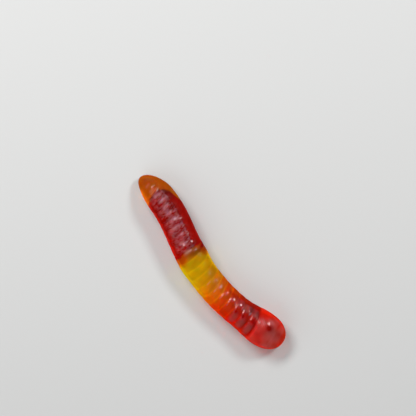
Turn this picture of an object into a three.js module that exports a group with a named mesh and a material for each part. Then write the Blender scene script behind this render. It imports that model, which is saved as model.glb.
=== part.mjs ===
// A gummy worm candy: one solid piece of three-coloured jelly, moulded with a ridged back over a
// flat underside. It lies on that underside, with its tail towards -X and its head towards +X.
// Millimetres, +Z up. The origin is the middle of the bounding box at the height of the table.
import * as THREE from "three";

// Length along the centreline, from the tip of the tail to the tip of the head
const LENGTH = 80.4;

// Widths and heights of the moulded section
const BODY_WIDTH = 11;
const HEAD_WIDTH = 13.2;
const BODY_HEIGHT = 9.3;
const HEAD_HEIGHT = 10.6;
const NECK = [0.77, 0.91]; // where the body widens into the head, as shares of the length
const WAIST_SWELL = 0.75; // extra width round the middle
const WAIST_AT = 0.46;
const WAIST_REACH = 0.055;

// Tapering tail and blunt head: the lengths over which they close, and how full they stay
const TAIL_TAPER = 12;
const TAIL_FULLNESS = 1.4;
const HEAD_TAPER = 10.9;
const HEAD_FULLNESS = 2.6;
const TIP_HEIGHT = 0.45; // height of the tips, as a share of the height of the widest line

// Section: a round back over a belly that the open side of the mould cuts flat
const WIDEST_AT = 0.44; // height of the widest line, as a share of the section's height
const BELLY_DEPTH = 1.28; // depth of the uncut belly, as a share of the height of the widest line
const BACK_FULLNESS = 2.1;
const BELLY_FULLNESS = 2.3;
const RIM_SOFTNESS = 0.45; // how far the edge of the flat underside is rounded

// The lie of the worm: headings of the centreline in degrees, and where it bends from one to the next
const TAIL_HEADING = 4.3;
const MIDDLE_HEADING = -23.4;
const HEAD_HEADING = 15.8;
const FIRST_BEND = [0.02, 0.34];
const SECOND_BEND = [0.16, 1];

// A slight twist: the back of the tail half leans to -Y
const TAIL_ROLL = 14;
const UNTWISTS = [0.28, 0.6];

// Ridges across the back
const GROOVES = [
  2.3, 4.2, 6.4, 8.8, 11.4, 14.1, 16.7, 19.3, 22.4, 25.6, 28.9, 32.1,
  35.4, 38.7, 42.0, 45.4, 48.7, 51.9, 55.2, 58.6, 61.9, 65.1, 68.3,
]; // distances from the tip of the tail at which they cross the top of the back
const RIDGE_DEPTH = 0.5;
const RIDGE_ROUNDNESS = 2.4;
const RIDGE_MEAN = 0.6; // level of the plain surface, as a share of a ridge's depth
const RIDGE_BOW = 1.5; // how far each ridge bends forward from its ends to its foremost point
const RIDGE_BOW_AT = -25; // where that point is, in degrees from the top of the back towards +Y
const BOW_ENDS = [68, 76]; // where the smooth head loses that bend
const RIDGE_FADE = [38, 56]; // where the ridges fade, in degrees from the top of the back
const FLANK_SHARE = 0.2; // depth left on the flanks, as a share of the ridges' depth
const BELLY_FADE = [90, 125];
const FIRST_RIDGE_SHARE = 0.45; // depth of the first ridge, as a share of the others'
const GROWTH_LENGTH = 9; // length over which the first ridges grow to their full depth
const SHOULDER = 1.3; // length over which the smooth ends rise from their last groove

// How finely the solid is faceted
const SIDES = 36;
const RINGS_PER_RIDGE = 5;
const TAIL_RINGS = 6;
const HEAD_RINGS = 12;
const LINE_STEPS = 400;
const SECTION_STEPS = 180;

// Colours of the jelly along the worm: [distance from the tip of the tail, colour]
const COLOURS = [
  [0, "#d9560c"],
  [6.6, "#d4570e"],
  [9, "#a8130f"],
  [31.5, "#a8130f"],
  [33.5, "#c04a08"],
  [35.5, "#d99c06"],
  [44.5, "#dc9506"],
  [50, "#dc6a08"],
  [55, "#cc3f08"],
  [60, "#b81f10"],
  [80, "#c4261a"],
];

const RIDGES = GROOVES.length - 1;
const [RIDGES_FROM, RIDGES_TO] = [GROOVES[0], GROOVES[RIDGES]];

const { clamp, degToRad: radians, lerp, radToDeg: degrees, smoothstep } = THREE.MathUtils;

// Direction of the centreline at a share t of its length, in radians
function heading(t) {
  const first = (MIDDLE_HEADING - TAIL_HEADING) * smoothstep(t, ...FIRST_BEND);
  const second = (HEAD_HEADING - MIDDLE_HEADING) * smoothstep(t, ...SECOND_BEND);
  return radians(TAIL_HEADING + first + second);
}

// The centreline as points a fixed step apart, turned so that its two tips lie on a line along X
function centreline() {
  const step = LENGTH / LINE_STEPS;
  const origin = new THREE.Vector2(0, 0);
  const points = [origin];
  for (let i = 0; i < LINE_STEPS; i++) {
    const angle = heading((i + 0.5) / LINE_STEPS);
    const next = new THREE.Vector2(step, 0).rotateAround(origin, angle).add(points[i]);
    points.push(next);
  }
  const turn = points[LINE_STEPS].angle();
  return { points: points.map((p) => p.clone().rotateAround(origin, -turn)), turn };
}

const line = centreline();

// A point of the centreline and its direction, at a distance s from the tip of the tail
function lineAt(s) {
  const at = clamp((s / LENGTH) * LINE_STEPS, 0, LINE_STEPS);
  const i = Math.min(Math.floor(at), LINE_STEPS - 1);
  const point = line.points[i].clone().lerp(line.points[i + 1], at - i);
  return { point, angle: heading(s / LENGTH) - line.turn };
}

// 1 along the body, falling to 0 at each tip
function taper(s) {
  const tail = clamp(1 - s / TAIL_TAPER, 0, 1);
  const head = clamp(1 - (LENGTH - s) / HEAD_TAPER, 0, 1);
  return Math.sqrt((1 - tail ** TAIL_FULLNESS) * (1 - head ** HEAD_FULLNESS));
}

// Half width, height of the widest line, height above it and depth below it, at a distance s
function sectionSizes(s) {
  const t = s / LENGTH;
  const headness = smoothstep(t, ...NECK);
  const swell = WAIST_SWELL * Math.exp(-(((t - WAIST_AT) / WAIST_REACH) ** 2));
  const width = lerp(BODY_WIDTH, HEAD_WIDTH, headness) + swell;
  const height = lerp(BODY_HEIGHT, HEAD_HEIGHT, headness);
  const widest = height * WIDEST_AT;
  const share = taper(s);
  return {
    half: (width / 2) * share,
    centre: widest * lerp(TIP_HEIGHT, 1, share),
    above: (height - widest) * share,
    below: widest * BELLY_DEPTH * share,
  };
}

// How many ridges lie between the first groove and a distance s within the ridged length
function ridgesPassed(s) {
  const ridge = Math.min(GROOVES.findLastIndex((at) => at <= s), RIDGES - 1);
  return ridge + (s - GROOVES[ridge]) / (GROOVES[ridge + 1] - GROOVES[ridge]);
}

// The distance at which a given number of ridges has been passed
function distanceOfRidge(count) {
  const ridge = Math.floor(count);
  return lerp(GROOVES[ridge], GROOVES[ridge + 1], count - ridge);
}

// A ridge's profile along the worm: 0 in a groove, 1 on a crest and on the smooth ends
function ridgeProfile(s) {
  if (s < RIDGES_FROM) return RIDGE_MEAN * smoothstep(RIDGES_FROM - s, 0, SHOULDER);
  if (s > RIDGES_TO) return smoothstep(s - RIDGES_TO, 0, SHOULDER);
  return 1 - Math.abs(2 * (ridgesPassed(s) % 1) - 1) ** RIDGE_ROUNDNESS;
}

// Height of the ridges over the plain surface, at a distance s and an angle from the top of the back
function ridgeHeight(s, angle) {
  const away = degrees(Math.abs(angle));
  const flank = lerp(1, FLANK_SHARE, smoothstep(away, ...RIDGE_FADE));
  const belly = 1 - smoothstep(away, ...BELLY_FADE);
  const grown = lerp(FIRST_RIDGE_SHARE, 1, smoothstep(s - RIDGES_FROM, 0, GROWTH_LENGTH));
  return RIDGE_DEPTH * taper(s) * grown * flank * belly * (ridgeProfile(s) - RIDGE_MEAN);
}

// The larger of z and 0, with the corner between them rounded
function cutFlat(z) {
  if (z < -RIM_SOFTNESS) return 0;
  if (z > RIM_SOFTNESS) return z;
  return (z + RIM_SOFTNESS) ** 2 / (4 * RIM_SOFTNESS);
}

// A point of the section as (across, up), before the twist. The angle runs from the top to +Y.
function sectionPoint(s, angle) {
  const { half, centre, above, below } = sectionSizes(s);
  const [across, up] = [Math.sin(angle), Math.cos(angle)];
  const fullness = up > 0 ? BACK_FULLNESS : BELLY_FULLNESS;
  const reach = (Math.abs(across) ** fullness + Math.abs(up) ** fullness) ** (-1 / fullness);
  const ridge = ridgeHeight(s, angle);
  const height = centre + up * ((up > 0 ? above : below) * reach + ridge);
  return new THREE.Vector2(across * (half * reach + ridge), cutFlat(height));
}

// How far the skin is moved along the worm at a distance s and an angle from the top of the back
function bow(s, angle) {
  const at = radians(RIDGE_BOW_AT);
  const share = taper(s) ** 2 * (1 - smoothstep(s, ...BOW_ENDS));
  return RIDGE_BOW * share * (Math.cos(angle - at) - Math.cos(at));
}

// The section's points at evenly spaced angles, twisted, and lifted so that none is below the table
function section(s) {
  const twist = radians(TAIL_ROLL) * (1 - smoothstep(s / LENGTH, ...UNTWISTS));
  const pivot = new THREE.Vector2(0, sectionSizes(s).centre);
  const twisted = (angle) => sectionPoint(s, angle).rotateAround(pivot, twist);
  let lowest = 0;
  for (let i = 0; i < SECTION_STEPS; i++) {
    lowest = Math.min(lowest, twisted((i / SECTION_STEPS - 0.5) * 2 * Math.PI).y);
  }
  const ring = [];
  for (let i = 0; i < SIDES; i++) {
    const turn = i / SIDES;
    const angle = (turn - Math.round(turn)) * 2 * Math.PI;
    const point = twisted(angle);
    ring.push({ across: point.x, up: point.y - lowest, ahead: bow(s, angle) });
  }
  return ring;
}

// Distances from the tip of the tail at which the rings of the solid lie
function ringDistances() {
  const rounded = (share) => 1 - Math.cos(share * (Math.PI / 2));
  const distances = [];
  for (let i = 1; i < TAIL_RINGS; i++) distances.push(RIDGES_FROM * rounded(i / TAIL_RINGS));
  for (let i = 0; i < RIDGES * RINGS_PER_RIDGE; i++) distances.push(distanceOfRidge(i / RINGS_PER_RIDGE));
  for (let i = HEAD_RINGS; i > 0; i--) {
    distances.push(LENGTH - (LENGTH - RIDGES_TO) * rounded(i / HEAD_RINGS));
  }
  return distances;
}

// The colour of the jelly at a distance s
function colourAt(s) {
  const next = COLOURS.findIndex(([at]) => at > s);
  if (next < 0) return new THREE.Color(COLOURS[COLOURS.length - 1][1]);
  const [[from, a], [to, b]] = [COLOURS[next - 1], COLOURS[next]];
  return new THREE.Color(a).lerp(new THREE.Color(b), (s - from) / (to - from));
}

// The closed skin of the worm: rings of points along the centreline, and a point at each tip
function wormGeometry() {
  const positions = [];
  const colours = [];
  const place = (s, across, up) => {
    const { point, angle } = lineAt(s);
    positions.push(point.x - across * Math.sin(angle), point.y + across * Math.cos(angle), up);
    colours.push(...colourAt(s).toArray());
  };
  const distances = ringDistances();
  place(0, 0, sectionSizes(0).centre);
  for (const s of distances) {
    for (const { across, up, ahead } of section(s)) place(s + ahead, across, up);
  }
  place(LENGTH, 0, sectionSizes(LENGTH).centre);

  const faces = [];
  const head = 1 + distances.length * SIDES;
  for (let j = 0; j < SIDES; j++) {
    const next = (j + 1) % SIDES;
    faces.push(0, 1 + j, 1 + next);
    for (let ring = 1; ring + SIDES < head; ring += SIDES) {
      faces.push(ring + j, ring + SIDES + next, ring + next);
      faces.push(ring + j, ring + SIDES + j, ring + SIDES + next);
    }
    faces.push(head, head - SIDES + next, head - SIDES + j);
  }

  const geometry = new THREE.BufferGeometry();
  geometry.setAttribute("position", new THREE.Float32BufferAttribute(positions, 3));
  geometry.setAttribute("color", new THREE.Float32BufferAttribute(colours, 3));
  geometry.setIndex(faces);
  geometry.computeVertexNormals();
  geometry.computeBoundingBox();
  const { min, max } = geometry.boundingBox;
  geometry.translate(-(min.x + max.x) / 2, -(min.y + max.y) / 2, -min.z);
  return geometry;
}

const jelly = new THREE.MeshStandardMaterial({ vertexColors: true, roughness: 0.25, metalness: 0 });
const worm = new THREE.Mesh(wormGeometry(), jelly);
worm.name = "gummy_worm";

const candy = new THREE.Group();
candy.add(worm);

export default candy;
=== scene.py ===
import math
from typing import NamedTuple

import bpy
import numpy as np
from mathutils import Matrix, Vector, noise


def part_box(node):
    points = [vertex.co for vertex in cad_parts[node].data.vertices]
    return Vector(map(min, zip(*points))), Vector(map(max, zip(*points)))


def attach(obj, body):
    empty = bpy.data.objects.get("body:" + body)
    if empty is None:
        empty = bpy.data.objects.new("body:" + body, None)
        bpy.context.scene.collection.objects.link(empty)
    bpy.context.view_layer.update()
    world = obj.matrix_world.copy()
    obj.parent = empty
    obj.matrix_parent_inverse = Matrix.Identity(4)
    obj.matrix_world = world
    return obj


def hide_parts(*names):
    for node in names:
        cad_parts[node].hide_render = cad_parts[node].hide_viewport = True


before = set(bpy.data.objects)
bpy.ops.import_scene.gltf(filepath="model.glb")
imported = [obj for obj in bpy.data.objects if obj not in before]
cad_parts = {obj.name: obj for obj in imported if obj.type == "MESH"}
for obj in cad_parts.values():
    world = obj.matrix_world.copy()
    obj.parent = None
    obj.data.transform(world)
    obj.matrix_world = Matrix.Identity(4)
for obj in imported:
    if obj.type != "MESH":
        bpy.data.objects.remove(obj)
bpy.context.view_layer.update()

# A gummy worm candy lying on its flat underside, seen from straight above. Its skin is one fine mesh over the
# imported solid's own form, from the same named sizes, with the relief that the solid leaves out. Sizes are in
# millimetres until the mesh is placed, and in metres from then on. Distances run along the worm from the tip
# of its tail, and turns are degrees round it from straight up, towards +Y. A pair of distances or of turns is
# the two values between which something fades in or out.

MM = 0.001
NODE = "gummy_worm"

# The solid's driving dimensions, in millimetres and degrees
LENGTH = 80.4
BODY_WIDTH, HEAD_WIDTH = 11.0, 13.2
BODY_HEIGHT, HEAD_HEIGHT = 9.3, 10.6
NECK = (0.77, 0.91)
WAIST_SWELL, WAIST_AT, WAIST_REACH = 0.75, 0.46, 0.055
TAIL_TAPER, TAIL_FULLNESS = 12.0, 1.4
HEAD_TAPER, HEAD_FULLNESS = 10.9, 2.6
TIP_HEIGHT = 0.45
WIDEST_AT, BELLY_DEPTH = 0.44, 1.28
BACK_FULLNESS, BELLY_FULLNESS = 2.1, 2.3
RIM_SOFTNESS = 0.45
TAIL_HEADING, MIDDLE_HEADING, HEAD_HEADING = 4.3, -23.4, 15.8
FIRST_BEND, SECOND_BEND = (0.02, 0.34), (0.16, 1.0)
TAIL_ROLL, UNTWISTS = 14.0, (0.28, 0.6)

# Its ridges, with the distances of the grooves
GROOVES = np.array([
    2.3, 4.2, 6.4, 8.8, 11.4, 14.1, 16.7, 19.3, 22.4, 25.6, 28.9, 32.1,
    35.4, 38.7, 42.0, 45.4, 48.7, 51.9, 55.2, 58.6, 61.9, 65.1, 68.3,
])
RIDGES_FROM, RIDGES_TO = GROOVES[0], GROOVES[-1]
RIDGE_DEPTH, RIDGE_ROUNDNESS, RIDGE_MEAN = 0.5, 2.4, 0.6
RIDGE_BOW, RIDGE_BOW_AT, BOW_ENDS = 1.5, -25.0, (68.0, 76.0)
RIDGE_FADE, FLANK_SHARE, BELLY_FADE = (38.0, 56.0), 0.2, (90.0, 125.0)
FIRST_RIDGE_SHARE, GROWTH_LENGTH, SHOULDER = 0.45, 9.0, 1.3

# Relief that only the mesh has, in millimetres
BAND_EDGE = (43.0, 53.0)  # where the ridged band of the back ends, in degrees from its top
BAND_STEP = 0.10
RIDGE_WOBBLE, RIDGE_UNEVENNESS = 0.28, 0.35
FAINT_RIDGES, FAINT_FROM, FAINT_TO = 0.5, (33.5, 36.0), (43.5, 46.0)  # share of their depth in the yellow
WRINKLE_DEPTH, GRAIN_DEPTH, DENT_DEPTH = 0.10, 0.035, 0.08
SMOOTH_SHARE, SMOOTH_FROM = 0.15, (31.0, 35.0)  # wrinkles and grain left in the yellow jelly and beyond
HEAD_RING_DEPTH, HEAD_RING_PITCH = 0.03, 0.72
HEAD_RING_FROM, HEAD_RING_TO, HEAD_RING_SIDE = (68.2, 69.2), (70.6, 72.0), (28.0, 50.0)

# Noise: the lengths of its lumps along and across the worm, in millimetres, and its seed
WOBBLE_NOISE, VIGOUR_NOISE = (4.0, 3.2, 1.5), (3.1, 2.6, 7.5)
WRINKLE_NOISE, GRAIN_NOISE, DENT_NOISE = (0.75, 2.2, 3.5), (0.42, 0.42, 5.5), (4.5, 3.5, 9.5)
STREAK_NOISE, FINE_NOISE, CLOUD_NOISE = (0.8, 2.8, 13.5), (0.45, 0.9, 19.5), (2.6, 2.2, 17.5)
SHADE_NOISE = (2.6, 2.2, 23.5)

# How the faces between the tip's colours bow: on the +Y side and the other, per millimetre, and at the rim
FACE_BOWS, FACE_FADE = (0.17, 0.09), (12.0, 22.0)
RIM_BOW, RIM_BOW_FROM = 4.0, 3.9
RIDGE_BOW_FADE = (38.0, 44.0)  # where the faces no longer bow with the ridges

# How far the brown reaches into the yellow at the sides: millimetres along the worm, the side (1 is +Y),
# the millimetres off the middle between which that sets in, and the distances where it begins and ends
BROWN_SHIFTS = (
    (1.4, -1, (0.5, 4.5), (30.0, 33.0), (37.0, 41.0)),
    (1.3, 1, (2.4, 4.4), (33.0, 34.5), (38.0, 43.0)),
)

# Colour steps at the grooves of the head's half, and how much nearer the tail a thin groove's colour is
STEPS_FROM, STEPS_TO = (42.0, 45.5), (59.0, 63.0)
STEP_SHARE, GROOVE_SHIFT = 0.8, 2.4


class Region(NamedTuple):
    """A region of the skin on one side of its top, with soft ends."""
    side: int  # 1 towards +Y, -1 towards -Y
    turn: tuple  # the turns where it begins, towards that side
    start: tuple  # the distances where it begins
    end: tuple = None  # and where it ends, or None if it reaches the head's tip
    turn_end: tuple = None  # the turns where it ends, or None if it reaches the underside


# Regions of the skin where the jelly looks deeper, brighter or duller
HEAD_END = (77.6, 79.6)
# DARK_FLANK is the +Y flank, deepened and darkened as painted shade
DARK_FLANK = Region(1, (18.0, 50.0), (32.8, 34.8), (66.0, 68.5))
LOW_FLANK = Region(-1, (26.0, 52.0), (46.0, 50.0), (60.0, 63.0))
AMBER_FLANK = Region(-1, (14.0, 46.0), (31.8, 32.6), (34.6, 36.4))
AMBER_GLOW = Region(-1, (14.0, 46.0), (27.0, 32.0), (34.6, 36.4))
TAIL_FLANK = Region(1, (24.0, 32.0), (11.0, 16.0), (33.2, 34.4))
TIP_RIM = Region(-1, (34.0, 56.0), (2.5, 4.5), (8.5, 12.0))
LOWER_SIDE = Region(-1, (10.0, 60.0), (2.5, 4.5))
LOWER_RIM = Region(-1, (50.0, 66.0), (2.5, 4.5))
GOLD_RIM = Region(1, (58.0, 70.0), (35.4, 37.8), (44.0, 46.5))
NECK_RIM = Region(1, (36.0, 54.0), (51.5, 54.5))
MAUVE_NECK = Region(1, (14.0, 24.0), (57.0, 61.0), (67.4, 68.4), (36.0, 52.0))
HEAD_SHOULDER = Region(1, (24.0, 40.0), (67.8, 68.8), (71.5, 74.0))
HEAD_SIDE = Region(1, (16.0, 34.0), (72.4, 74.6), HEAD_END)
HEAD_LOW = Region(-1, (8.0, 36.0), (68.3, 69.4))
HEAD_RIM = Region(1, (44.0, 62.0), (67.5, 69.0))

# Round spots on the skin: place and reach along the worm, and turn and reach round it
HEAD_PATCH = (70.4, 1.6, 18.0, 11.0)
# The head's gleam is a painted highlight beside its real one
HEAD_GLEAM = (73.0, 1.3, 34.0, 8.0)
# The clear spots lose haze and painted sheen, and are darkened as painted shade where the skin mirrors nothing
# bright
CLEAR_SPOTS = (
    (59.8, 0.6, -5.0, 6.0),
    (62.9, 0.6, -3.0, 7.0),
    (66.8, 0.8, 2.0, 7.0),
    (73.2, 1.2, 13.0, 10.0),
)
CLEAR_STRENGTH = 1.4

# Haze, with painted sheen and painted highlights, in shares of full haze. LOW and HIGH are the turns where it
# ends on the -Y side and on the +Y side. A PHASE is how far past the nearest groove it lies, and a REACH how
# far it spreads, in shares of the ridges' pitch. A MOTTLE is the mean of a share that noise varies, what full
# noise adds, and the most it comes to.

# Dry skin of the tail's half, its paleness partly a painted sheen of the lamps
HAZE_AND_SHEEN_FROM, HAZE_AND_SHEEN_TO, HAZE_AND_SHEEN_HIGH, HAZE_AND_SHEEN_LOW = (7.6, 8.3), (31.0, 32.4), (22.0, 26.0), (24.0, 52.0)
DRY_MEAN, DRY_STREAKS, DRY_FINE, DRY_CLOUDS = 0.14, 0.16, 0.26, 0.16

# Pale patches beside the grooves of the tail's half, partly haze and partly painted sheen
PATCH_HAZE_AND_SHEEN, PATCH_AT_TIP, PATCH_CLOUD_MOTTLE, PATCH_STREAK_MOTTLE = 0.50, 0.8, (0.85, 0.7, 1.2), (0.9, 0.5)
PATCH_PHASE, PATCH_REACH, PATCH_FROM, PATCH_TO = 0.07, 0.21, (3.4, 4.2), (32.9, 33.8)
PATCH_HIGH, PATCH_LOW = (3.0, 15.0), (10.0, 28.0)

# A painted highlight: a pale line across the worm where the crimson begins, with its place and reach in
# millimetres
TIP_LINE_HIGHLIGHT, TIP_LINE_AT, TIP_LINE_REACH = 0.40, 7.35, 0.16
TIP_LINE_HIGH, TIP_LINE_LOW = (14.0, 24.0), (16.0, 26.0)

# Painted highlights: thin pale lines in the grooves of the head's half
LINE_HIGHLIGHT, LINE_MOTTLE, LINE_PHASE, LINE_REACH = 0.25, (0.7, 1.5), 0.18, 0.055
LINE_FROM, LINE_HIGH, LINE_LOW = (43.0, 46.0), (5.0, 13.0), (8.0, 14.0)
GROOVED_END = (RIDGES_TO - 0.8, RIDGES_TO)

# Painted highlights: pale spots on the crests, and beside the grooves, at one turn
SPOT_TURN, SPOT_TURN_REACH = 20.0, 6.0
CREST_HIGHLIGHT, SPOT_MOTTLE, SPOT_PHASE, SPOT_REACH = 0.25, (0.8, 1.2, 1.3), 0.40, 0.14
SIDE_HIGHLIGHT, SIDE_SPOT_MOTTLE, SIDE_SPOT_PHASE, SIDE_SPOT_REACH = 0.5, (0.8, 1.4, 1.3), -0.10, 0.11
EARLY_SPOTS, SIDE_SPOTS_FROM = 0.4, (55.0, 58.0)  # spots on the crests before those beside the grooves begin
TAIL_HIGHLIGHT, TAIL_SIDE_SPOTS, TAIL_SPOT_MOTTLE = 0.35, 0.8, (0.7, 1.2, 1.2)
TAIL_SPOTS_FROM, TAIL_SPOTS_TO = (14.0, 19.0), (33.0, 34.5)

# Dull patches on the crests' lower side
DULL_HAZE, DULL_REACH, DULL_FROM = 0.14, 0.37, (58.0, 60.5)
DULL_TURN, DULL_TURN_REACH = -30.0, 25.0

# The mauve side of the neck, and the head's worn patch with its fine lines, its painted highlight of a gleam,
# its film and hazy end
MAUVE_HAZE, MAUVE_MOTTLE = 0.13, (0.8, 0.8, 1.3)
WORN_MEAN, WORN_LINES, WORN_FINE = 0.22, 0.4, 0.3
WORN_LINE_PITCH, WORN_LINE_BOW = 0.62, 0.05
GLEAM_HIGHLIGHT = 0.42
FILM_HAZE, FILM_MOTTLE = 0.10, (0.8, 0.8, 1.3)
FILM_FROM, FILM_HIGH, FILM_LOW = (68.3, 69.4), (2.0, 22.0), (60.0, 85.0)
END_HAZE, END_MEAN, END_CLOUDS, END_STREAKS, END_MOST = 0.20, 0.7, 1.0, 0.4, 1.2
END_HAZE_FROM, END_HAZE_SIDES = (71.0, 77.0), (46.0, 72.0)

# Shares of the deepest colour; on the dark +Y flank it is painted shade
FLANK_SHADE_DEPTH, LOW_DEPTH, AMBER_DEPTH = 0.75, 0.7, 0.5
HEAD_CLEAR_DEPTH = 0.5  # of the clear spot on the head

# Shares of full shade, with the dark crescent beside the orange tip
CRESCENT_SHADE, CRESCENT_AT = 0.42, 7.7
CRESCENT_FROM, CRESCENT_TO, CRESCENT_LOW, CRESCENT_RIM = (0.2, 1.0), (2.4, 6.4), (18.0, 30.0), (40.0, 56.0)
CLEAR_SHADE, DULL_SHADE, MAUVE_SHADE = 0.15, 0.34, 0.20
CLOUDY_SHADE, SHADE_SWING = 0.26, 0.20

# Shares of the brightest glow: of the regions, of the head's rim and end, and of the grooves
GLOWS = (
    (0.15, LOWER_SIDE),
    (0.85, LOWER_RIM),
    (0.45, TIP_RIM),
    (0.32, TAIL_FLANK),
    (0.3, AMBER_GLOW),
    (0.5, GOLD_RIM),
    (0.15, LOW_FLANK),
    (0.3, HEAD_SHOULDER),
    (0.4, HEAD_SIDE),
    (0.25, HEAD_LOW),
)
HEAD_RIM_GLOW = 0.55
GROOVE_GLOW_REACH, LAST_GROOVE_REACH = 0.11, 1.0
PALE_GROOVE_GLOW, PALE_GROOVES_FROM, PALE_GROOVES_TO = 0.21, (32.8, 34.8), (60.0, 63.0)
RED_GROOVE_GLOW, RED_GROOVES_FROM, RED_GROOVES_SIDE = 0.25, (59.5, 61.0), (-14.0, -2.0)

# The wet top of the back, where the tips are dry again, and its gloss along the worm
WET_HIGH, WET_LOW, WET_FROM, WET_TO = (32.0, 52.0), (10.0, 26.0), (0.5, 3.0), (75.0, 78.5)
DRY_GLOSS, DRY_SIDE = 1.4, (8.0, 16.0)  # what full haze takes of the gloss, and where it takes none
GLOSS_AT = (33.0, 36.0, 44.0, 46.0, 57.0, 68.0, 70.0)
GLOSS = (1.0, 0.3, 0.3, 0.65, 0.9, 0.9, 0.9)

# Jelly colours by distance, as linear red, green, blue
JELLY_COLOURS = (
    (0.0, (0.56, 0.105, 0.001)),
    (4.0, (0.58, 0.125, 0.001)),
    (7.3, (0.60, 0.110, 0.001)),
    (7.9, (0.30, 0.018, 0.003)),
    (8.6, (0.35, 0.004, 0.001)),
    (31.6, (0.42, 0.004, 0.001)),
    (32.3, (0.48, 0.110, 0.001)),
    (33.7, (0.50, 0.135, 0.001)),
    (35.8, (0.69, 0.46, 0.001)),
    (38.7, (0.80, 0.55, 0.001)),
    (44.8, (0.72, 0.42, 0.001)),
    (46.5, (0.92, 0.42, 0.001)),
    (50.0, (0.86, 0.26, 0.001)),
    (54.0, (0.84, 0.100, 0.001)),
    (57.5, (0.66, 0.060, 0.001)),
    (60.5, (0.66, 0.020, 0.002)),
    (67.9, (0.40, 0.007, 0.002)),
    (68.9, (0.60, 0.014, 0.003)),
    (71.5, (0.60, 0.014, 0.003)),
    (75.0, (0.44, 0.010, 0.003)),
    (80.4, (0.56, 0.024, 0.004)),
)
COLOUR_WANDER = 0.4  # how far noise moves them along the worm, in millimetres
WANDER_SCALE, WANDER_DETAIL, WANDER_NOISE = 200.0, 3.0, (0.3, 0.7)

# The pale colours of the haze, the painted sheen and the painted highlights by distance, as they take on a
# little of the jelly's
HAZE_AND_SHEEN_COLOURS = (
    (0.0, (0.88, 0.53, 0.22)),
    (7.2, (0.88, 0.53, 0.26)),
    (8.4, (0.88, 0.54, 0.63)),
    (31.0, (0.90, 0.55, 0.62)),
    (33.0, (0.92, 0.60, 0.40)),
    (52.0, (0.92, 0.60, 0.46)),
    (60.0, (0.90, 0.57, 0.60)),
    (68.5, (0.90, 0.56, 0.53)),
)
HAZE_AND_SHEEN_STRENGTH = 0.85

# The jelly
JELLY_SLOT = "gummy_jelly"
GLOW, SHADE = 2.0, 0.75  # the colour's brightness where it glows most, and what it loses in full shade
DEEPEST = 1.5  # power of the colour seen through the thickest jelly
SMOOTH_ROUGHNESS, HAZY_ROUGHNESS = 0.30, 0.40
FLANK_AT, FLANK_ROUGHNESS = (0.6, 0.95), 0.2  # the flanks are duller, so that they mirror less of the floor
FLANK_COAT, WET_COAT, COAT_ROUGHNESS, COAT_IOR = 0.03, 0.45, 0.05, 1.5
JELLY_IOR, CLEARNESS = 1.02, 0.6
SCATTER_RADIUS, SCATTER_SCALE = (1.0, 0.35, 0.12), 0.004

# How finely the skin is meshed
AROUND = 160
TAIL_RINGS, RIDGE_RINGS, HEAD_RINGS = 24, 440, 100
LINE_STEPS = 800
TIP_GAP = 1e-6  # between each end point and its tip, where the section would have no size

# The photograph's frame, and the worm's place in it
PHOTO_SIZE = 416  # pixels a side
MM_PER_PIXEL = 0.361
PHOTO_TAIL = (139.73, 177.44)  # pixel at the tip of the tail
PHOTO_START_ANGLE = -46.84  # direction in the photo of a centreline with a heading of 0, in degrees
CAMERA_DISTANCE = 1.0
SENSOR = 36.0  # millimetres

# The floor and the light, in metres, degrees and watts
FLOOR_REACH = 4.0
FLOOR_GAP = 0.0003  # under the worm, so that its flat underside and the floor don't lie in one plane
FLOOR_COLOUR, FLOOR_ROUGHNESS = (0.52, 0.52, 0.51, 1), 0.7
LAMPS = (  # name, width, height, distance, azimuth, tilt and power
    ("window", 0.13, 0.13, 0.6, 88.0, 44.0, 1.75),
    ("second_window", 0.30, 0.12, 0.6, 176.0, 42.0, 2.8),
    ("fill", 2.6, 1.6, 1.1, -90.0, 66.0, 13.0),
)
SKY_COLOUR, SKY_STRENGTH = (0.9, 0.93, 1.0, 1), 0.2


def smoothstep(x, low, high):
    """0 below low, 1 above high, and smooth between them."""
    t = np.clip((x - low) / (high - low), 0, 1)
    return t * t * (3 - 2 * t)


def stretch(x, start, end):
    """1 between a start and an end, with soft ends."""
    return smoothstep(x, *start) * (1 - smoothstep(x, *end))


def lerp(a, b, t):
    return a + (b - a) * t


# The worm's form, the same as the solid's

def heading(t):
    """Direction of the centreline at a share t of its length, in radians."""
    first = (MIDDLE_HEADING - TAIL_HEADING) * smoothstep(t, *FIRST_BEND)
    second = (HEAD_HEADING - MIDDLE_HEADING) * smoothstep(t, *SECOND_BEND)
    return np.radians(TAIL_HEADING + first + second)


def centreline():
    """Distances along the centreline, its points, and the angle of the line between its tips, in radians."""
    middles = heading((np.arange(LINE_STEPS) + 0.5) / LINE_STEPS)
    steps = np.stack([np.cos(middles), np.sin(middles)], axis=1) * LENGTH / LINE_STEPS
    points = np.vstack([[0.0, 0.0], np.cumsum(steps, axis=0)])
    turn = math.atan2(points[-1, 1], points[-1, 0])
    return np.linspace(0, LENGTH, LINE_STEPS + 1), turned(points, -turn), turn


def turned(points, angle):
    """Points in the plane, turned round the origin."""
    x, y, c, s = points[..., 0], points[..., 1], np.cos(angle), np.sin(angle)
    return np.stack([x * c - y * s, x * s + y * c], axis=-1)


def taper(s):
    """1 along the body, falling to 0 at each tip."""
    tail = np.clip(1 - s / TAIL_TAPER, 0, 1)
    head = np.clip(1 - (LENGTH - s) / HEAD_TAPER, 0, 1)
    return np.sqrt((1 - tail**TAIL_FULLNESS) * (1 - head**HEAD_FULLNESS))


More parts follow.
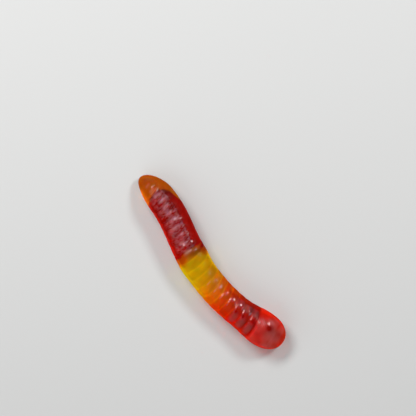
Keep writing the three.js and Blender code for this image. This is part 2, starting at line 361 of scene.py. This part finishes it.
def section_sizes(s):
    """Half width, height of the widest line, height above it and depth below it, at a distance s."""
    t = s / LENGTH
    headness = smoothstep(t, *NECK)
    swell = WAIST_SWELL * np.exp(-(((t - WAIST_AT) / WAIST_REACH) ** 2))
    width = lerp(BODY_WIDTH, HEAD_WIDTH, headness) + swell
    height = lerp(BODY_HEIGHT, HEAD_HEIGHT, headness)
    widest = height * WIDEST_AT
    share = taper(s)
    centre = widest * lerp(TIP_HEIGHT, 1, share)
    return width / 2 * share, centre, (height - widest) * share, widest * BELLY_DEPTH * share


def ridges_passed(s):
    return np.interp(s, GROOVES, np.arange(len(GROOVES)))


def bow(s, angle):
    """How far the skin is moved along the worm."""
    at = math.radians(RIDGE_BOW_AT)
    share = taper(s) ** 2 * (1 - smoothstep(s, *BOW_ENDS))
    return RIDGE_BOW * share * (np.cos(angle - at) - math.cos(at))


def ridge_profile(s):
    """0 in a groove, 1 on a crest and on the smooth ends."""
    before = RIDGE_MEAN * smoothstep(RIDGES_FROM - s, 0, SHOULDER)
    after = smoothstep(s - RIDGES_TO, 0, SHOULDER)
    hump = 1 - np.abs(2 * (ridges_passed(s) % 1) - 1) ** RIDGE_ROUNDNESS
    return np.where(s < RIDGES_FROM, before, np.where(s > RIDGES_TO, after, hump))


def ridge_height(s, angle):
    """Height of the ridges over the plain surface."""
    away = np.degrees(np.abs(angle))
    flank = lerp(1, FLANK_SHARE, smoothstep(away, *RIDGE_FADE))
    belly = 1 - smoothstep(away, *BELLY_FADE)
    grown = lerp(FIRST_RIDGE_SHARE, 1, smoothstep(s - RIDGES_FROM, 0, GROWTH_LENGTH))
    return RIDGE_DEPTH * taper(s) * grown * flank * belly * (ridge_profile(s) - RIDGE_MEAN)


def cut_flat(z):
    """The larger of z and 0, with the corner between them rounded."""
    soft = (z + RIM_SOFTNESS) ** 2 / (4 * RIM_SOFTNESS)
    return np.where(z < -RIM_SOFTNESS, 0, np.where(z > RIM_SOFTNESS, z, soft))


def twist(s):
    """How far the section is rolled, in degrees."""
    return TAIL_ROLL * (1 - smoothstep(s / LENGTH, *UNTWISTS))


def skin_points(s, angle, wobble=0.0, vigour=1.0, lift=0.0):
    """Points of the skin for a grid of distances and angles from the top, as an array of x, y, z.
    wobble moves the ridges along the worm, vigour scales their depth, and lift raises the surface."""
    half, centre, above, below = section_sizes(s)
    across, up = np.sin(angle), np.cos(angle)
    fullness = np.where(up > 0, BACK_FULLNESS, BELLY_FULLNESS)
    reach = (np.abs(across) ** fullness + np.abs(up) ** fullness) ** (-1 / fullness)
    proud = ridge_height(s + wobble, angle) * vigour + lift
    side = across * (half * reach + proud)
    height = cut_flat(centre + up * (np.where(up > 0, above, below) * reach + proud))
    rolled = turned(np.stack([side, height - centre], axis=-1), np.radians(twist(s)))
    z = rolled[..., 1] + centre
    z = z - np.minimum(z.min(axis=1, keepdims=True), 0)
    distances, points, turn = LINE
    ahead = s + bow(s, angle)
    direction = heading(ahead / LENGTH) - turn
    x = np.interp(ahead, distances, points[:, 0]) - rolled[..., 0] * np.sin(direction)
    y = np.interp(ahead, distances, points[:, 1]) + rolled[..., 0] * np.cos(direction)
    return np.stack([x, y, z], axis=-1)


LINE = centreline()


# The relief that the solid leaves out

def skin_arc(s, angle):
    """Offset round the section from its top, in millimetres."""
    return angle * (BODY_WIDTH / 2) * taper(s)


def noise_field(s, arc, along, across, seed):
    """Smooth noise from -1 to 1 over the skin, with lumps of the given lengths along and across the worm."""
    places = zip((s / along).ravel(), (arc / across).ravel())
    values = [noise.noise(Vector((u, v, seed))) for u, v in places]
    return np.array(values).reshape(s.shape)


def worm_relief(s, angle):
    """Wobble and vigour of the ridges, and the finer relief in millimetres."""
    arc = skin_arc(s, angle)
    away = np.degrees(np.abs(angle))
    ridged = stretch(s, (RIDGES_FROM, RIDGES_FROM + SHOULDER), (RIDGES_TO - SHOULDER, RIDGES_TO))
    ridged = ridged * (1 - smoothstep(away, *BAND_EDGE))
    wobble = RIDGE_WOBBLE * noise_field(s, arc, *WOBBLE_NOISE)
    vigour = 1 + RIDGE_UNEVENNESS * noise_field(s, arc, *VIGOUR_NOISE)
    vigour = vigour * lerp(1, FAINT_RIDGES, stretch(s, FAINT_FROM, FAINT_TO))
    rough = ridged * lerp(1, SMOOTH_SHARE, smoothstep(s, *SMOOTH_FROM))
    wrinkles = WRINKLE_DEPTH * noise_field(s, arc, *WRINKLE_NOISE) * rough
    grain = GRAIN_DEPTH * noise_field(s, arc, *GRAIN_NOISE) * rough
    dents = DENT_DEPTH * noise_field(s, arc, *DENT_NOISE)
    rings = HEAD_RING_DEPTH * np.sin(2 * math.pi * s / HEAD_RING_PITCH)
    rings = rings * stretch(s, HEAD_RING_FROM, HEAD_RING_TO) * (1 - smoothstep(away, *HEAD_RING_SIDE))
    step = BAND_STEP * (ridged - 0.5)  # half of it up inside the band, and half down outside it
    shown = (1 - smoothstep(away, *BELLY_FADE)) * taper(s)
    return wobble, vigour, (step + wrinkles + grain + rings + dents) * shown


# Where the jelly's looks change over the skin, each from 0 to 1 unless it says otherwise

def turn_from_up(s, angle):
    return np.degrees(angle) - twist(s)


def side_offset(turn):
    """Millimetres towards +Y from the worm's middle."""
    return np.sin(np.radians(turn)) * BODY_WIDTH / 2


def spread(x, reach):
    """1 at 0, falling smoothly to 0 beyond the reach."""
    return np.exp(-((x / reach) ** 2))


def between(turn, low, high):
    """1 from low on the -Y side to high on the +Y side, with soft ends."""
    return (1 - smoothstep(turn, *high)) * (1 - smoothstep(-turn, *low))


def round_spot(s, turn, spot):
    at, reach, turn_at, turn_reach = spot
    return spread(s - at, reach) * spread(turn - turn_at, turn_reach)


def within(region, s, turn):
    """1 in the region, 0 outside it."""
    turn = region.side * turn
    share = smoothstep(turn, *region.turn) * smoothstep(s, *region.start)
    if region.end:
        share = share * (1 - smoothstep(s, *region.end))
    if region.turn_end:
        share = share * (1 - smoothstep(turn, *region.turn_end))
    return share


def mottled(field, mean, swing, most=1.0):
    """A share that varies with noise."""
    return np.clip(mean + swing * field, 0, most)


def past_groove(count, phase):
    """How far past a phase after the nearest groove, as a share of the pitch."""
    return count - phase - np.round(count - phase)


def jelly_distance(s, angle, wobble):
    """The distance that sets the jelly's colour: the colours meet in bowed faces, and step at each groove."""
    side = side_offset(turn_from_up(s, angle))
    face = np.where(side > 0, *FACE_BOWS) * side**2 + RIM_BOW * np.maximum(side - RIM_BOW_FROM, 0) ** 2
    face = face * (1 - smoothstep(s, *FACE_FADE)) - bow(s, angle) * (1 - smoothstep(s, *RIDGE_BOW_FADE))
    for shift, way, offsets, start, end in BROWN_SHIFTS:
        face = face + shift * smoothstep(way * side, *offsets) * stretch(s, start, end)
    middle = np.interp(np.floor(ridges_passed(s + wobble)) + 0.5, np.arange(len(GROOVES)), GROOVES)
    stepped = stretch(s, STEPS_FROM, STEPS_TO)
    thin = stepped * GROOVE_SHIFT * (1 - ridge_profile(s + wobble)) ** 2
    return lerp(s, middle, STEP_SHARE * stepped) - face - thin


def clear_spots(s, turn):
    return np.clip(CLEAR_STRENGTH * sum(round_spot(s, turn, spot) for spot in CLEAR_SPOTS), 0, 1)


def crest_highlights(count, turn):
    return spread(past_groove(count, SPOT_PHASE), SPOT_REACH) * spread(turn - SPOT_TURN, SPOT_TURN_REACH)


def side_highlights(count, turn):
    round_it = spread(turn - SPOT_TURN, SPOT_TURN_REACH)
    return spread(past_groove(count, SIDE_SPOT_PHASE), SIDE_SPOT_REACH) * round_it


def dull_patches(s, turn, count):
    away = ((count % 1 - 0.5) / DULL_REACH) ** 2 + ((turn - DULL_TURN) / DULL_TURN_REACH) ** 2
    return np.exp(-(away**2)) * stretch(s, DULL_FROM, GROOVED_END)


def tail_haze_sheen_and_highlights(s, turn, count, streaks, fine, clouds):
    """Haze, painted sheen and painted highlights of the tail's half: dry skin, patches beside the grooves, a
    line across the tip, and spots.
    """
    dry = stretch(s, HAZE_AND_SHEEN_FROM, HAZE_AND_SHEEN_TO) * between(turn, HAZE_AND_SHEEN_LOW, HAZE_AND_SHEEN_HIGH)
    dry = dry * np.clip(DRY_MEAN + DRY_STREAKS * streaks + DRY_FINE * fine + DRY_CLOUDS * clouds, 0, 1)
    patch = spread(past_groove(count, PATCH_PHASE), PATCH_REACH) * between(turn, PATCH_LOW, PATCH_HIGH)
    patch = patch * stretch(s, PATCH_FROM, PATCH_TO) * lerp(PATCH_AT_TIP, 1, smoothstep(s, *HAZE_AND_SHEEN_FROM))
    patch = patch * mottled(clouds, *PATCH_CLOUD_MOTTLE) * mottled(streaks, *PATCH_STREAK_MOTTLE)
    line = spread(s - TIP_LINE_AT, TIP_LINE_REACH) * between(turn, TIP_LINE_LOW, TIP_LINE_HIGH)
    spots = crest_highlights(count, turn) + TAIL_SIDE_SPOTS * side_highlights(count, turn)
    spots = spots * stretch(s, TAIL_SPOTS_FROM, TAIL_SPOTS_TO) * mottled(fine, *TAIL_SPOT_MOTTLE)
    return dry + PATCH_HAZE_AND_SHEEN * patch + TIP_LINE_HIGHLIGHT * line + TAIL_HIGHLIGHT * spots


def ridge_highlights_and_haze(s, turn, count, fine):
    """Painted highlights of the head's half, in lines in the grooves and spots on and beside the crests, and
    the haze of dull patches.
    """
    line = spread(past_groove(count, LINE_PHASE), LINE_REACH) * between(turn, LINE_LOW, LINE_HIGH)
    late = smoothstep(s, *SIDE_SPOTS_FROM)
    crest = crest_highlights(count, turn) * lerp(EARLY_SPOTS, 1, late) * mottled(fine, *SPOT_MOTTLE)
    side = side_highlights(count, turn) * late * mottled(fine, *SIDE_SPOT_MOTTLE)
    haze_and_sheen = LINE_HIGHLIGHT * line * mottled(fine, *LINE_MOTTLE) + CREST_HIGHLIGHT * crest + SIDE_HIGHLIGHT * side
    return (haze_and_sheen + DULL_HAZE * dull_patches(s, turn, count)) * stretch(s, LINE_FROM, GROOVED_END)


def head_haze_and_highlight(s, turn, streaks, fine, clouds):
    """Haze of the head: a worn patch with fine lines, a painted highlight's gleam, a thin film, and a hazy
    end.
    """
    lines = 0.5 + 0.5 * np.sin(2 * math.pi * (s + WORN_LINE_BOW * side_offset(turn) ** 2) / WORN_LINE_PITCH)
    worn = round_spot(s, turn, HEAD_PATCH) * np.clip(WORN_MEAN + WORN_LINES * lines + WORN_FINE * fine, 0, 1)
    film = smoothstep(s, *FILM_FROM) * between(turn, FILM_LOW, FILM_HIGH) * mottled(clouds, *FILM_MOTTLE)
    end = smoothstep(s, *END_HAZE_FROM) * (1 - smoothstep(np.abs(turn), *END_HAZE_SIDES))
    end = end * np.clip(END_MEAN + END_CLOUDS * clouds + END_STREAKS * streaks, 0, END_MOST)
    faded = (FILM_HAZE * film + END_HAZE * end) * (1 - smoothstep(s, *HEAD_END))
    return worn + GLEAM_HIGHLIGHT * round_spot(s, turn, HEAD_GLEAM) + faded


def skin_haze_and_sheen(s, angle, wobble):
    """How pale the skin is painted, from 0, clear and wet, to 1, dry and pale: haze, with painted sheen and
    highlights.
    """
    arc = skin_arc(s, angle)
    turn = turn_from_up(s, angle)
    count = ridges_passed(s + wobble)
    streaks, fine, clouds = (noise_field(s, arc, *kind) for kind in (STREAK_NOISE, FINE_NOISE, CLOUD_NOISE))
    haze_and_sheen = tail_haze_sheen_and_highlights(s, turn, count, streaks, fine, clouds) + ridge_highlights_and_haze(s, turn, count, fine)
    haze_and_sheen = haze_and_sheen + MAUVE_HAZE * within(MAUVE_NECK, s, turn) * mottled(clouds, *MAUVE_MOTTLE)
    haze_and_sheen = haze_and_sheen + head_haze_and_highlight(s, turn, streaks, fine, clouds)
    return np.clip(haze_and_sheen, 0, 1) * (1 - clear_spots(s, turn))


def jelly_depth_and_shade(s, angle):
    """How much deeper the colour looks through thick clear jelly, with painted shade deepening the dark +Y
    flank and the clear spots.
    """
    turn = turn_from_up(s, angle)
    flank = within(DARK_FLANK, s, turn) * (1 - within(GOLD_RIM, s, turn)) * (1 - within(NECK_RIM, s, turn))
    spots = clear_spots(s, turn) * lerp(1, HEAD_CLEAR_DEPTH, smoothstep(s, *HEAD_RIM.start))
    low = LOW_DEPTH * within(LOW_FLANK, s, turn) + AMBER_DEPTH * within(AMBER_FLANK, s, turn)
    return np.clip(FLANK_SHADE_DEPTH * flank + low + spots, 0, 1)


def jelly_shade(s, angle, wobble):
    """How much darker than its colour the jelly looks."""
    turn = turn_from_up(s, angle)
    past_tip = s - CRESCENT_AT - FACE_BOWS[0] * side_offset(turn) ** 2
    crescent = stretch(past_tip, CRESCENT_FROM, CRESCENT_TO) * stretch(turn, CRESCENT_LOW, CRESCENT_RIM)
    cloudy = CLOUDY_SHADE + SHADE_SWING * noise_field(s, skin_arc(s, angle), *SHADE_NOISE)
    dull = DULL_SHADE * dull_patches(s, turn, ridges_passed(s + wobble))
    spots = CLEAR_SHADE * clear_spots(s, turn) + dull + MAUVE_SHADE * within(MAUVE_NECK, s, turn)
    return np.clip(CRESCENT_SHADE * crescent + spots + cloudy, 0, 1)


def jelly_glow(s, angle, wobble):
    """How much brighter than its colour the jelly looks where light leaves it."""
    turn = turn_from_up(s, angle)
    glow = sum(share * within(region, s, turn) for share, region in GLOWS)
    glow = glow + HEAD_RIM_GLOW * np.maximum(within(HEAD_RIM, s, turn), smoothstep(s, *HEAD_END))
    count = ridges_passed(s + wobble)
    grooves = spread(past_groove(count, 0), GROOVE_GLOW_REACH) * (s < RIDGES_TO + LAST_GROOVE_REACH)
    red = RED_GROOVE_GLOW * smoothstep(s, *RED_GROOVES_FROM) * (1 - smoothstep(turn, *RED_GROOVES_SIDE))
    pale = PALE_GROOVE_GLOW * stretch(s, PALE_GROOVES_FROM, PALE_GROOVES_TO)
    return np.clip(glow + grooves * (red + pale), 0, 1)


def wet_top(s, angle, haze_and_sheen):
    """How glossy the skin is, from 0 on the flanks to 1 on top."""
    turn = turn_from_up(s, angle)
    dry = DRY_GLOSS * haze_and_sheen * (1 - smoothstep(turn, *DRY_SIDE))
    top = between(turn, WET_LOW, WET_HIGH) * stretch(s, WET_FROM, WET_TO)
    return top * np.interp(s, GLOSS_AT, GLOSS) * np.clip(1 - dry, 0, 1)


# The mesh

def ring_distances():
    """Distances of the mesh's rings, closer together at the tips."""
    tail = RIDGES_FROM * (1 - np.cos(np.arange(1, TAIL_RINGS) / TAIL_RINGS * math.pi / 2))
    body = np.linspace(RIDGES_FROM, RIDGES_TO, RIDGE_RINGS, endpoint=False)
    head = 1 - np.cos(np.arange(HEAD_RINGS, 0, -1) / HEAD_RINGS * math.pi / 2)
    return np.concatenate([tail, body, LENGTH - (LENGTH - RIDGES_TO) * head])


def skin_faces(rings):
    """Quads between the rings and triangles at the tips, by the numbers of their points."""
    ring, column = np.meshgrid(np.arange(rings - 1), np.arange(AROUND), indexing="ij")
    beside = (column + 1) % AROUND
    here, ahead = 1 + ring * AROUND, 1 + (ring + 1) * AROUND
    quads = np.stack([here + column, ahead + column, ahead + beside, here + beside], axis=-1).reshape(-1, 4)
    j = np.arange(AROUND)
    beside = (j + 1) % AROUND
    last = 1 + rings * AROUND
    start = np.stack([np.zeros_like(j), 1 + j, 1 + beside], axis=-1)
    end = np.stack([np.full_like(j, last), last - AROUND + beside, last - AROUND + j], axis=-1)
    return quads.tolist() + start.tolist() + end.tolist()


def worm_skin():
    """The worm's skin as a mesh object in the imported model's place, and what moved it there."""
    angle = (np.arange(AROUND) / AROUND * 2 * math.pi)[None, :]
    angle = np.where(angle > math.pi, angle - 2 * math.pi, angle)
    s, angle = np.broadcast_arrays(ring_distances()[:, None], angle)
    wobble, vigour, lift = worm_relief(s, angle)
    grid = skin_points(s, angle, wobble, vigour, lift)
    tail, head = (skin_points(np.full((1, 1), at), np.zeros((1, 1)))[0] for at in (TIP_GAP, LENGTH - TIP_GAP))
    points = np.vstack([tail, grid.reshape(-1, 3), head])

    centre = (points.min(axis=0) + points.max(axis=0)) / 2
    low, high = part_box(NODE)
    offset = np.array([(low.x + high.x) / 2 / MM - centre[0], (low.y + high.y) / 2 / MM - centre[1], 0.0])
    mesh = bpy.data.meshes.new("worm_skin")
    mesh.from_pydata(((points + offset) * MM).tolist(), [], skin_faces(len(grid)))
    haze_and_sheen = skin_haze_and_sheen(s, angle, wobble)
    attributes = {
        "jelly": jelly_distance(s, angle, wobble),
        "haze_and_sheen": haze_and_sheen,
        "shade": jelly_shade(s, angle, wobble),
        "glow": jelly_glow(s, angle, wobble),
        "depth_and_shade": jelly_depth_and_shade(s, angle),
        "wet": wet_top(s, angle, haze_and_sheen),
        "side": np.sin(angle),
    }
    for name, values in attributes.items():
        values = np.concatenate([[values[0].mean()], values.ravel(), [values[-1].mean()]])
        mesh.attributes.new(name, "FLOAT", "POINT").data.foreach_set("value", values.astype(np.float32))
    mesh.shade_smooth()
    return add_object("worm_skin", mesh), offset


def add_object(name, data):
    added = bpy.data.objects.new(name, data)
    bpy.context.scene.collection.objects.link(added)
    return added


# The materials

class Nodes:
    """Adds shader nodes to a tree and links them."""

    def __init__(self, tree):
        self.tree = tree
        tree.nodes.clear()

    def add(self, kind, inputs=None, **settings):
        node = self.tree.nodes.new(kind)
        for name, value in settings.items():
            setattr(node, name, value)
        for name, value in (inputs or {}).items():
            self.feed(node.inputs[name], value)
        return node

    def feed(self, socket, value):
        if isinstance(value, bpy.types.NodeSocket):
            self.tree.links.new(value, socket)
        else:
            socket.default_value = value

    def math(self, operation, a, b=0.0):
        return self.add("ShaderNodeMath", {0: a, 1: b}, operation=operation).outputs[0]

    def range(self, value, low, high, new_low, new_high):
        names = {"Value": value, "From Min": low, "From Max": high, "To Min": new_low, "To Max": new_high}
        return self.add("ShaderNodeMapRange", names).outputs["Result"]

    def attribute(self, name):
        return self.add("ShaderNodeAttribute", attribute_name=name).outputs["Fac"]

    def by(self, name, none, full):
        """A value that runs from none, where an attribute is 0, to full, where it is 1."""
        return self.range(self.attribute(name), 0.0, 1.0, none, full)

    def noise(self, vector, scale, detail):
        sockets = {"Vector": vector, "Scale": scale, "Detail": detail}
        return self.add("ShaderNodeTexNoise", sockets).outputs["Fac"]

    def ramp(self, value, stops):
        """Colours by a share of the worm's length, from stops with their distances."""
        node = self.add("ShaderNodeValToRGB", {"Fac": value})
        elements = node.color_ramp.elements
        while len(elements) < len(stops):
            elements.new(0.5)
        for element, (distance, _) in zip(elements, stops):
            element.position = distance / LENGTH
        for element, (_, colour) in zip(elements, stops):
            element.color = (*colour, 1)
        return node.outputs["Color"]

    def mix(self, share, a, b):
        node = self.add("ShaderNodeMix", data_type="RGBA", blend_type="MIX")
        for index, value in ((0, share), (6, a), (7, b)):
            self.feed(node.inputs[index], value)
        return node.outputs[2]

    def surface(self, inputs):
        shader = self.add("ShaderNodeBsdfPrincipled", inputs)
        self.add("ShaderNodeOutputMaterial", {"Surface": shader.outputs["BSDF"]})


def new_material(name):
    material = bpy.data.materials.new(name)
    material.use_nodes = True
    return material, Nodes(material.node_tree)


def jelly_material():
    material, n = new_material(JELLY_SLOT)
    place = n.add("ShaderNodeTexCoord").outputs["Object"]
    wander = n.noise(place, WANDER_SCALE, WANDER_DETAIL)
    wander = n.range(wander, *WANDER_NOISE, -COLOUR_WANDER, COLOUR_WANDER)
    share = n.math("DIVIDE", n.math("ADD", n.attribute("jelly"), wander), LENGTH)
    deepened = {"Color": n.ramp(share, JELLY_COLOURS), "Gamma": n.by("depth_and_shade", 1.0, DEEPEST)}
    clear = n.add("ShaderNodeGamma", deepened).outputs["Color"]
    brightness = n.math("ADD", n.by("glow", 1.0, GLOW), n.by("shade", 0.0, -SHADE))
    red = n.add("ShaderNodeSeparateColor", {"Color": clear}).outputs["Red"]
    brightness = n.math("MINIMUM", brightness, n.math("DIVIDE", 1.0, red))  # so that no colour passes 1
    lit = n.add("ShaderNodeVectorMath", {0: clear, "Scale": brightness}, operation="SCALE").outputs["Vector"]
    # Pale haze, painted sheen and painted highlights, mixed over the jelly's colour
    pale = n.ramp(share, HAZE_AND_SHEEN_COLOURS)
    flank = n.range(n.math("ABSOLUTE", n.attribute("side")), *FLANK_AT, 0.0, FLANK_ROUGHNESS)
    n.surface({
        "Base Color": n.mix(n.by("haze_and_sheen", 0.0, HAZE_AND_SHEEN_STRENGTH), lit, pale),
        "Roughness": n.math("ADD", n.by("haze_and_sheen", SMOOTH_ROUGHNESS, HAZY_ROUGHNESS), flank),
        "IOR": JELLY_IOR,
        "Subsurface Weight": 1.0,
        "Subsurface Radius": SCATTER_RADIUS,
        "Subsurface Scale": SCATTER_SCALE,
        "Transmission Weight": CLEARNESS,
        "Coat Weight": n.by("wet", FLANK_COAT, WET_COAT),
        "Coat Roughness": COAT_ROUGHNESS,
        "Coat IOR": COAT_IOR,
    })
    return material


def floor_material():
    material, n = new_material("pale_floor")
    n.surface({"Base Color": FLOOR_COLOUR, "Roughness": FLOOR_ROUGHNESS})
    return material


# The floor, the light and the camera

def make_floor():
    mesh = bpy.data.meshes.new("floor")
    r, z = FLOOR_REACH, -FLOOR_GAP
    mesh.from_pydata([(-r, -r, z), (r, -r, z), (r, r, z), (-r, r, z)], [], [(0, 1, 2, 3)])
    mesh.materials.append(floor_material())
    floor = add_object("floor", mesh)


def area_light(name, width, height, distance, azimuth, tilt, power):
    """A rectangular lamp that faces the worm, its azimuth turned from +X and its tilt from the zenith."""
    data = bpy.data.lights.new(name, "AREA")
    data.shape, data.size, data.size_y, data.energy = "RECTANGLE", width, height, power
    lamp = add_object(name, data)
    a, t = math.radians(azimuth), math.radians(tilt)
    away = Vector((math.cos(a) * math.sin(t), math.sin(a) * math.sin(t), math.cos(t)))
    lamp.location = away * distance
    lamp.rotation_mode = "QUATERNION"
    lamp.rotation_quaternion = away.to_track_quat("Z", "Y")


def make_lights():
    for lamp in LAMPS:
        area_light(*lamp)
    world = bpy.data.worlds.new("studio")
    bpy.context.scene.world = world
    world.use_nodes = True
    background = world.node_tree.nodes["Background"]
    background.inputs["Color"].default_value = SKY_COLOUR
    background.inputs["Strength"].default_value = SKY_STRENGTH


def make_camera(offset):
    """Looks straight down, with the worm as large, turned and placed as in the photograph."""
    _, _, turn = LINE
    start = math.radians(PHOTO_START_ANGLE) + turn  # direction in the photo of +X
    right = (PHOTO_SIZE / 2 - PHOTO_TAIL[0]) * MM_PER_PIXEL
    up = (PHOTO_TAIL[1] - PHOTO_SIZE / 2) * MM_PER_PIXEL
    aim = turned(np.array([right, up]), -start) + offset[:2]
    data = bpy.data.cameras.new("camera")
    data.sensor_width = SENSOR
    data.lens = SENSOR * CAMERA_DISTANCE / (PHOTO_SIZE * MM_PER_PIXEL * MM)
    camera = add_object("camera", data)
    widest = BODY_HEIGHT * WIDEST_AT
    camera.location = (aim[0] * MM, aim[1] * MM, widest * MM + CAMERA_DISTANCE)
    camera.rotation_euler = (0, 0, -start)
    bpy.context.scene.camera = camera


skin, offset = worm_skin()
skin.data.materials.append(jelly_material())
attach(skin, "root")
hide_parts(NODE)
make_floor()
make_lights()
make_camera(offset)
bpy.context.scene.view_settings.view_transform = "Standard"
bpy.context.scene.cycles.use_denoising = True
